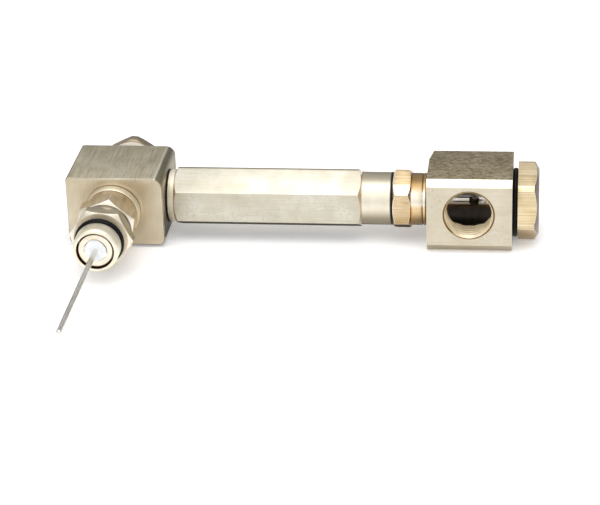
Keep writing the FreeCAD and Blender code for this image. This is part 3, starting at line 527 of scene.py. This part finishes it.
# The collar at the block is painted nearly white as a highlight, with a golden line of painted shade
# at the foot of the hexagon.
bright_collar = machined("turned and polished brass, tube collar", ["#fbeed2", "#fff6e4", "#fffcf4"],
                         grain_mm=(0.5, 6.0, 6.0), roughness=0.5, depth_mm=0.002)
banded(bright_collar, ("#b08a52", "X", HEX_FROM - 0.1, 0.12, 0.12, 0.8))

# The flats at the back and underneath are painted darker as shade, and are a little rougher.
shaded_flat = machined("drawn brass, flats of the oil tube in painted shade", ["#a59c88", "#b5ad9a", "#c4bcab"],
                     grain_mm=(12.0, 0.5, 0.5), roughness=0.4)


def matt_shade_coat(name, tones, grain_mm):
    """A matt, dark film of painted shade, which hides the metal under it."""
    film = machined(name, tones, grain_mm, roughness=0.7)
    shader = film.node_tree.nodes["Principled BSDF"]
    shader.inputs["Metallic"].default_value = 0.0
    shader.inputs["Specular IOR Level"].default_value = 0.2
    return film


# Painted shade: a dark film on the flat that looks down in front, on the strip of the round end in
# line with it, and along the eased edges.
painted_shade_film = matt_shade_coat("painted shade on the lower front and edges of the oil tube", ["#38332a", "#474136", "#585144"],
                       grain_mm=(4.0, 0.5, 0.5))

# The flats look about to the front, to the back, and 60 degrees up and down from there. The
# strips between them, whose normals lie in between, are the eased edges.
tube = eased("oil_tube", "housing", 0.22, drawn_tube, worn_edge_and_highlight)
paint_faces(tube, scratched_tube, lambda middle, normal: normal.y < -0.5 and normal.z < 0.3)
paint_faces(tube, shaded_flat, lambda middle, normal:
            normal.z < -0.6 or normal.z > 0.5 and normal.y > -0.2)
paint_faces(tube, painted_shade_film, lambda middle, normal:
            normal.z > FLAT or normal.y < 0.0 and -0.9 < normal.z < -0.2)
paint_faces(tube, turned_tube, lambda middle, normal: middle.x > HEX_TO)
paint_faces(tube, painted_shade_film, lambda middle, normal:
            middle.x > HEX_TO and normal.y < 0.0 and -0.91 < normal.z < -0.78)
paint_faces(tube, bright_collar, lambda middle, normal: middle.x < HEX_FROM)
paint_faces(tube, bright_cut_and_highlight, lambda middle, normal:
            HEX_FROM - 1 < middle.x < HEX_TO + 1 and BEVEL_FROM < abs(normal.x) < BEVEL_TO)

# ---------------------------------------------------------------------------------------------
# Inlet nipple. Turned from hexagon bar and left as raw brass; it screws into the tube and the
# inlet block. Drawn grain along its hexagon, a polished golden neck.
# ---------------------------------------------------------------------------------------------
NECK_FROM = 75.4      # the neck lies beyond this
FLANGE_GROOVE = 78.5  # the narrow groove beside the flange at its end

# Golden flats with drawn lines, a painted highlight band at the foot of the flat that looks up, and
# painted brown shade below.
raw_nipple = machined("drawn raw brass, nipple hexagon", ["#b3976c", "#c7af8a", "#d9c7a8"],
                      grain_mm=(7.0, 0.45, 0.45), roughness=0.26)
banded(raw_nipple,
       ("#a3865a", "Z", -7.0, 2.5, 4.5, 0.7),
       ("#fdf3df", "Z", 4.85, 0.7, 0.15, 0.8))

# The neck is painted in bands of shade and highlight: dark, white, golden and dark again, with lines
# of painted shade at hexagon and flange.
polished_neck = machined("turned raw brass, nipple neck", ["#cdae80", "#dcc093", "#e8d0a8"],
                         grain_mm=(3.0, 9.0, 9.0), roughness=0.28, depth_mm=0.001)
banded(polished_neck,
       ("#7a5c36", "Z", -7.0, 3.0, 4.0, 0.85),
       ("#b87f35", "X", NECK_FROM + 0.2, 0.2, 0.25, 0.8),
       ("#5a4326", "X", FLANGE_GROOVE, 0.12, 0.1, 0.8),
       ("#fff8ea", "Z", 2.6, 1.0, 1.5, 0.9),
       ("#8a6a40", "Z", 7.0, 1.5, 2.0, 0.7))

# Painted shade: a brown film on the flat that looks down in front, and on a strip of the neck beside
# it.
brown_painted_shade = matt_shade_coat("painted shade under the nipple", ["#35260f", "#473318", "#5c4425"],
                       grain_mm=(2.0, 0.5, 0.5))

nipple = eased("inlet_nipple", "housing", 0.12, raw_nipple, worn_edge_and_highlight)
paint_faces(nipple, polished_neck, lambda middle, normal: middle.x > NECK_FROM)
paint_faces(nipple, brown_painted_shade, lambda middle, normal:
            normal.y < 0.0 and -0.91 < normal.z < (-0.8 if middle.x > NECK_FROM else -0.6))

# ---------------------------------------------------------------------------------------------
# Inlet block. Milled from square bar and plated: the top is coarsely milled and dark, the front
# finer and pale. The bored chamber behind the port is stained with oil. The port, the small screw
# hole and the plug's end of the chamber are tapped, and their threads are cut here.
# ---------------------------------------------------------------------------------------------
holes = {mount["name"]: mount for mount in frame["record"]["mounts"]}
port, screw_hole = holes["oil_inlet_port"], holes["screw_hole"]
port_middle = in_mm(port["pos_m"])
port_middle.y = corners_mm("inlet_block")[0].y
screw_middle = in_mm(screw_hole["pos_m"])
PORT_RADIUS, SCREW_RADIUS = port["dims"]["r_mm"], screw_hole["dims"]["r_mm"]
PORT_RIM = 6.35         # radius where the countersink meets the front
PORT_BACK = 27.5        # the port's bore ends in front of this
SCREW_FROM, SCREW_TO = 36.2, 40.6  # the wall of the small hole lies between these
CHAMBER_FROM = 22.0     # the wall of the chamber lies behind this
CHAMBER_RADIUS = 6.8
PLUG_THREAD_FROM = 93.2  # from here to the plug's tip, its thread runs out on the chamber's wall
chamber_axis_y = round(sum(corner.y for corner in corners_mm("end_plug")) / 2, 3)

# Even champagne with a few pale and brown spots.
milled_inlet = machined("milled nickel plated brass, inlet block", ["#beb49e", "#c9c0ac", "#d2cab9"],
                        grain_mm=(6.0, 3.0, 0.7), roughness=0.36, cloud_share=0.5, spread=0.2)
marked(milled_inlet, "#cfd2d8", (1.2, 1.2, 1.2), share=0.12, strength=0.5, patch_share=0.4)
marked(milled_inlet, "#a08a64", (0.6, 0.6, 0.6), share=0.03, strength=0.5, patch_share=0.6)

# The front is the same metal with a brown line round the port.
inlet_front = milled_inlet.copy()
inlet_front.name = "milled nickel plated brass, front of the inlet block"
ringed(inlet_front, "#7a5a30", (1, 0, 1), port_middle, 0.0, PORT_RIM + 0.13, 0.12)

# A rough, dark, speckled top: the cutter tore the metal, and oil has darkened the hollows.
coarse_top = machined("coarsely milled brass, inlet block top", ["#82734f", "#ad9d7e", "#d0c3a8"],
                      grain_mm=(1.3, 0.35, 0.35), roughness=0.42, depth_mm=0.03, cloud_share=0.2,
                      spread=0.11)
marked(coarse_top, "#dcd4c0", (0.6, 0.35, 0.35), share=0.1, strength=0.7)
marked(coarse_top, "#5e5039", (2.0, 0.35, 0.35), share=0.11, strength=0.6)

# The lower bevel is painted a little darker than the front, as shade.
shaded_bevel = machined("milled brass, lower bevel in painted shade", ["#a99c84", "#b8ac95", "#c5baa6"],
                      grain_mm=(6.0, 0.6, 0.6), roughness=0.36)

# A pale bevel round the port, with a brown line along its outer edge.
countersunk = machined("countersunk brass rim of the port", ["#d0bf9a", "#e4d6b8", "#f0e6ce"],
                       grain_mm=(1.5, 1.5, 1.5), roughness=0.4)
ringed(countersunk, "#7d5f37", (1, 0, 1), port_middle, PORT_RIM - 0.2, PORT_RIM + 0.3, 0.1)

# The port's thread is freshly cut and matt, so it looks like pale gold in every light.
cut_thread = machined("tapped brass thread", ["#f1e4c8", "#faefd6", "#fffaec"],
                      grain_mm=(1.5, 1.5, 1.5), roughness=0.7, depth_mm=0.003)

# The small hole's thread is greyed by oil.
stained_thread = machined("tapped brass thread, stained", ["#9a9084", "#b9aea0", "#d8cdbf"],
                          grain_mm=(0.6, 0.6, 0.6), roughness=0.55)

# Oily grey with painted bands of reflection, as a polished bore shows: a dark band of painted shade
# at the middle, and below it a painted bright highlight with a brown edge.
oily_bore_and_painted_bands = machined("bored brass stained with oil", ["#797571", "#85817d", "#918d89"],
                     grain_mm=(1.2, 5.0, 5.0), roughness=0.32, depth_mm=0.001)
banded(oily_bore_and_painted_bands,
       ("#4f4a46", "Z", 0.4, 1.9, 0.4, 1.0),
       ("#a08468", "Z", -3.3, 0.9, 0.4, 1.0),
       ("#fffdf9", "Z", -3.0, 0.6, 0.4, 1.0))


def near_port(middle, radius):
    """Whether a point is within radius of the axis of the port."""
    return (middle.y < PORT_BACK
            and math.hypot(middle.x - port_middle.x, middle.z - port_middle.z) < radius)


def in_chamber(middle, normal):
    """Whether a face of the inlet block is on the wall of the bored chamber."""
    return (middle.y > CHAMBER_FROM and abs(normal.x) < 0.5
            and math.hypot(middle.y - chamber_axis_y, middle.z) < CHAMBER_RADIUS + 0.1)


def in_screw_hole(middle, normal):
    """Whether a face of the inlet block is inside the small screw hole."""
    away = math.hypot(middle.x - screw_middle.x, middle.z - screw_middle.z)
    return SCREW_FROM < middle.y < SCREW_TO and away < SCREW_RADIUS + 0.03


inlet = eased("inlet_block", "housing", 0.12, milled_inlet, worn_edge_and_highlight)
paint_faces(inlet, inlet_front, lambda middle, normal: normal.y < -FLAT)
paint_faces(inlet, coarse_top, lambda middle, normal: normal.z > FLAT)
# The upper and the lower bevel both lean to the front. The thread's wall doesn't, and the
# countersink leans less than the front itself.
# The upper bevel gets the paler bevel finish, a painted highlight.
paint_faces(inlet, bright_cut_and_highlight, lambda middle, normal: normal.y < -0.5 and normal.z > 0.5)
paint_faces(inlet, cut_thread, lambda middle, normal:
            near_port(middle, PORT_RADIUS + 0.18) and abs(normal.y) < 0.3)
paint_faces(inlet, countersunk, lambda middle, normal:
            near_port(middle, PORT_RIM + 0.25) and -FLAT < normal.y < -BEVEL_FROM)
paint_faces(inlet, shaded_bevel, lambda middle, normal: normal.z < -0.3 and normal.y < -0.3)
paint_faces(inlet, oily_bore_and_painted_bands, in_chamber)
paint_faces(inlet, stained_thread, in_screw_hole)

# A tap's cut is a tooth swept along a helix. One tree makes every thread, with its sizes as
# inputs. The tooth's corners are shares of the thread's depth outwards and of its pitch sideways.
TOOTH = ((-0.4, 0.47), (-0.4, -0.47), (1.0, -0.08), (1.0, 0.08))
threads = bpy.data.node_groups.new("thread cutter", "GeometryNodeTree")
socket_of = {}
for name, kind in (("Radius", "NodeSocketFloat"), ("Depth", "NodeSocketFloat"),
                   ("Pitch", "NodeSocketFloat"), ("Length", "NodeSocketFloat"),
                   ("Points per Turn", "NodeSocketInt"), ("Turn", "NodeSocketRotation"),
                   ("Place", "NodeSocketVector"), ("Material", "NodeSocketMaterial")):
    socket = threads.interface.new_socket(name, in_out="INPUT", socket_type=kind)
    socket_of[name] = socket.identifier
threads.interface.new_socket("Geometry", in_out="OUTPUT", socket_type="NodeSocketGeometry")
given = add(threads, "NodeGroupInput").outputs
turns = add(threads, "ShaderNodeMath", {0: given["Length"], 1: given["Pitch"]}, operation="DIVIDE")
helix = add(threads, "GeometryNodeCurveSpiral", {
    "Resolution": given["Points per Turn"], "Rotations": turns.outputs[0],
    "Start Radius": given["Radius"], "End Radius": given["Radius"], "Height": given["Length"]})
upright = add(threads, "GeometryNodeSetCurveNormal", {"Curve": helix.outputs[0]}, mode="Z_UP")
corners = []
for outwards, sideways in TOOTH:
    across = add(threads, "ShaderNodeMath", {0: given["Depth"], 1: -outwards},
                 operation="MULTIPLY")
    along = add(threads, "ShaderNodeMath", {0: given["Pitch"], 1: sideways}, operation="MULTIPLY")
    corners.append(add(threads, "ShaderNodeCombineXYZ", {0: across.outputs[0], 1: along.outputs[0]}))
tooth = add(threads, "GeometryNodeCurvePrimitiveQuadrilateral", {
    f"Point {k + 1}": corner.outputs[0] for k, corner in enumerate(corners)}, mode="POINTS")
swept = add(threads, "GeometryNodeCurveToMesh", {
    "Curve": upright.outputs[0], "Profile Curve": tooth.outputs[0], "Fill Caps": True})
placed = add(threads, "GeometryNodeTransform", {
    "Geometry": swept.outputs[0], "Rotation": given["Turn"], "Translation": given["Place"]})
real = add(threads, "GeometryNodeRealizeInstances", {"Geometry": placed.outputs[0]})
coated = add(threads, "GeometryNodeSetMaterial", {
    "Geometry": real.outputs[0], "Material": given["Material"]})
add(threads, "NodeGroupOutput", {"Geometry": coated.outputs[0]})


def cut_thread_in(piece, radius_mm, depth_mm, pitch_mm, length_mm, turn_deg, start_mm, material):
    """Cuts one helical thread out of a piece: the tooth's foot is at radius_mm."""
    cutter = put("thread", bpy.data.meshes.new("thread"))
    maker = cutter.modifiers.new("thread", "NODES")
    maker.node_group = threads
    for name, value in (("Radius", radius_mm * MM), ("Depth", depth_mm * MM),
                        ("Pitch", pitch_mm * MM), ("Length", length_mm * MM),
                        ("Points per Turn", 48), ("Turn", [math.radians(a) for a in turn_deg]),
                        ("Place", [c * MM for c in start_mm]), ("Material", material)):
        maker[socket_of[name]] = value
    plain_mesh(cutter)
    work = welded(cutter.data, within_mm=0.0005)
    bmesh.ops.recalc_face_normals(work, faces=work.faces)
    work.to_mesh(cutter.data)
    work.free()
    cut = piece.modifiers.new("cut", "BOOLEAN")
    cut.operation = "DIFFERENCE"
    cut.solver = "EXACT"
    cut.material_mode = "TRANSFER"
    cut.object = cutter
    plain_mesh(piece)
    bpy.data.objects.remove(cutter)


# G 1/4 pipe thread in the port, M3 in the small hole, and the last faint turns of the plug's
# thread. The first two start a little outside their hole, so that the cut begins in the open.
PIPE_PITCH, M3_PITCH = 1.337, 0.5
INWARDS, ALONG_TUBE = (-90, 0, 0), (0, 90, 0)
cut_thread_in(inlet, PORT_RADIUS, depth_mm=0.6, pitch_mm=PIPE_PITCH, length_mm=10.6,
              turn_deg=INWARDS, start_mm=(port_middle.x, port_middle.y - 0.9, port_middle.z),
              material=cut_thread)
cut_thread_in(inlet, SCREW_RADIUS, depth_mm=0.16, pitch_mm=M3_PITCH, length_mm=4.2,
              turn_deg=INWARDS, start_mm=(screw_middle.x, SCREW_FROM - 0.4, screw_middle.z),
              material=stained_thread)
cut_thread_in(inlet, CHAMBER_RADIUS, depth_mm=0.05, pitch_mm=PIPE_PITCH, length_mm=2.8,
              turn_deg=ALONG_TUBE, start_mm=(PLUG_THREAD_FROM, chamber_axis_y, 0.0),
              material=oily_bore_and_painted_bands)

# ---------------------------------------------------------------------------------------------
# End plug. An 18 mm hexagon of raw drawn brass, screwed into the inlet block on a thick black
# O-ring. The smaller seals along the tube are of the same rubber.
# ---------------------------------------------------------------------------------------------

# Straight drawn lines in pale and darker gold, with painted shade darker towards the bottom.
raw_plug = machined("drawn raw brass, end plug", ["#cfb98c", "#e6d3ae", "#f5e6c8"],
                    grain_mm=(25.0, 0.3, 0.3), roughness=0.32)
banded(raw_plug, ("#a1875f", "Z", -9.0, 2.0, 7.0, 0.8))
marked(raw_plug, "#c39c64", (25.0, 0.2, 0.2), share=0.12, strength=0.4)

# The bevel round the hexagon's outer end is turned and looks a dull grey brown.
plug_bevel = machined("turned brass bevel, end plug", ["#685f58", "#7b726b", "#8f867f"],
                      grain_mm=(0.4, 4.0, 4.0), roughness=0.3)
plug = eased("end_plug", "housing", 0.2, raw_plug, worn_edge_and_highlight)
paint_faces(plug, plug_bevel, lambda middle, normal: BEVEL_FROM < normal.x < BEVEL_TO)
for seal in ("end_plug_o_ring", "rear_cap_seal", "tube_seal", "nipple_tube_seal",
             "nipple_block_seal", "valve_seal_disc"):
    paint(frame["nodes"][seal], nitrile)

# ---------------------------------------------------------------------------------------------
# Pieces inside: springs of wound wire, the steel ball, the bronze strainer and the seal disc's
# nut. Each spring is a copy of its node, carried by the housing.
# ---------------------------------------------------------------------------------------------

# Bright drawn wire; the polished ball shares it.
wire = machined("drawn stainless wire", ["#b5b0a6", "#d0ccc3", "#e6e3dc"],
                grain_mm=(0.25, 9.0, 0.25), roughness=0.2)
paint(frame["nodes"]["check_ball"], wire)
for joint in frame["record"]["behaviour"]["joints"]:
    node = joint["deforming_nodes"][0]["node"]
    spring = put(node + "_wound", frame["nodes"][node].data.copy())
    paint(spring, wire)
    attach(spring, "housing")
    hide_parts(node)
    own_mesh(spring)

# Small brown beads of bronze, pressed and baked together.
bronze = machined("sintered bronze", ["#5e4226", "#7b5a36", "#946f46"], grain_mm=(0.3, 0.3, 0.3),
                  roughness=0.6, depth_mm=0.05)
paint(frame["nodes"]["inlet_strainer"], bronze)
paint(frame["nodes"]["seal_disc_nut"], raw_cap)

# ---------------------------------------------------------------------------------------------
# The studio: a white paper floor and a white room, brighter in front and overhead, and dim low
# behind, so that polished faces show light and dark bands. The camera sees it all as white.
# ---------------------------------------------------------------------------------------------
FLOOR_HALF = 3.0
floor_z = cad_box[0][2] - 0.02 * MM
floor_mesh = bpy.data.meshes.new("floor")
floor_mesh.from_pydata([(x * FLOOR_HALF, y * FLOOR_HALF, floor_z) for x, y in
                        ((-1, -1), (1, -1), (1, 1), (-1, 1))], [], [(0, 1, 2, 3)])
floor = put("floor", floor_mesh)

# Paper that looks pure white to the camera and in reflections, but lights nothing more than
# paper does. It keeps the object's shadow.
white, tree, paper = new_material("white paper floor")
paper.inputs["Base Color"].default_value = colour("#f4f4f4")
paper.inputs["Roughness"].default_value = 1.0
rays = add(tree, "ShaderNodeLightPath").outputs
seen = add(tree, "ShaderNodeMath", {0: rays["Is Camera Ray"], 1: rays["Is Glossy Ray"]},
           operation="ADD")
seen = add(tree, "ShaderNodeMath", {0: seen.outputs[0], 1: rays["Is Transmission Ray"]},
           operation="ADD", use_clamp=True)
glow = add(tree, "ShaderNodeEmission", {"Color": colour("#ffffff"), "Strength": 0.26})
lit = add(tree, "ShaderNodeAddShader", {0: paper.outputs[0], 1: glow.outputs[0]})
mix = add(tree, "ShaderNodeMixShader", {0: seen.outputs[0], 1: paper.outputs[0], 2: lit.outputs[0]})
tree.links.new(mix.outputs[0], tree.nodes["Material Output"].inputs["Surface"])
paint(floor, white)

TO_PANEL = (0.0, -0.5, 0.87)    # the middle of the wide panel of light, above and in front
TO_BOX = (0.0, -0.26, 0.966)    # the middle of the small bright box, nearly overhead
world = bpy.data.worlds.new("studio")
bpy.context.scene.world = world
world.use_nodes = True
tree = world.node_tree
tree.nodes["Background"].inputs["Color"].default_value = colour("#ffffff")
way = add(tree, "ShaderNodeTexCoord").outputs["Generated"]
panel_way = add(tree, "ShaderNodeVectorMath", {0: way, 1: TO_PANEL}, operation="DOT_PRODUCT")
box_way = add(tree, "ShaderNodeVectorMath", {0: way, 1: TO_BOX}, operation="DOT_PRODUCT")
room = add(tree, "ShaderNodeMapRange", {
    "Value": panel_way.outputs["Value"], "From Min": -0.3, "From Max": 0.8,
    "To Min": 0.5, "To Max": 0.8})
panel = add(tree, "ShaderNodeMapRange", {
    "Value": panel_way.outputs["Value"], "From Min": 0.55, "From Max": 0.9, "To Max": 0.65},
            interpolation_type="SMOOTHSTEP")
box = add(tree, "ShaderNodeMapRange", {
    "Value": box_way.outputs["Value"], "From Min": 0.9, "From Max": 0.96, "To Max": 1.0},
          interpolation_type="SMOOTHSTEP")
behind = add(tree, "ShaderNodeMapRange", {
    "Value": panel_way.outputs["Value"], "From Min": -0.45, "From Max": -0.2,
    "To Min": 0.1, "To Max": 1.0}, interpolation_type="SMOOTHSTEP")
sky = add(tree, "ShaderNodeMath", {0: room.outputs[0], 1: panel.outputs[0]}, operation="ADD")
sky = add(tree, "ShaderNodeMath", {0: sky.outputs[0], 1: box.outputs[0]}, operation="ADD")
sky = add(tree, "ShaderNodeMath", {0: sky.outputs[0], 1: behind.outputs[0]}, operation="MULTIPLY")
rays = add(tree, "ShaderNodeLightPath").outputs
shown = add(tree, "ShaderNodeMix", {
    SHARE: rays["Is Camera Ray"], NUMBER_A: sky.outputs[0], NUMBER_B: 1.0}, data_type="FLOAT")
tree.links.new(shown.outputs[0], tree.nodes["Background"].inputs["Strength"])

lamp_data = bpy.data.lights.new("overhead softbox", "AREA")
lamp_data.shape = "RECTANGLE"
lamp_data.size, lamp_data.size_y = 0.8, 0.5
lamp_data.energy = 0.3
lamp = put("overhead softbox", lamp_data)
lamp.location = (0.05, -0.1, 0.7)
lamp.rotation_euler = (math.radians(-8), 0, 0)

# ---------------------------------------------------------------------------------------------
# Camera. A long lens half a metre away, which keeps level lines nearly parallel. It looks from the
# front, from above and a little from the right.
# ---------------------------------------------------------------------------------------------
camera_data = bpy.data.cameras.new("camera")
camera_data.sensor_width = 36.0
camera_data.lens = 132.985
camera = put("camera", camera_data)
camera.location = (110.711 * MM, -486.159 * MM, 229.532 * MM)
camera.rotation_euler = [math.radians(a) for a in (64.762, 1.833, 6.248)]
bpy.context.scene.camera = camera
bpy.context.scene.view_settings.view_transform = "Standard"
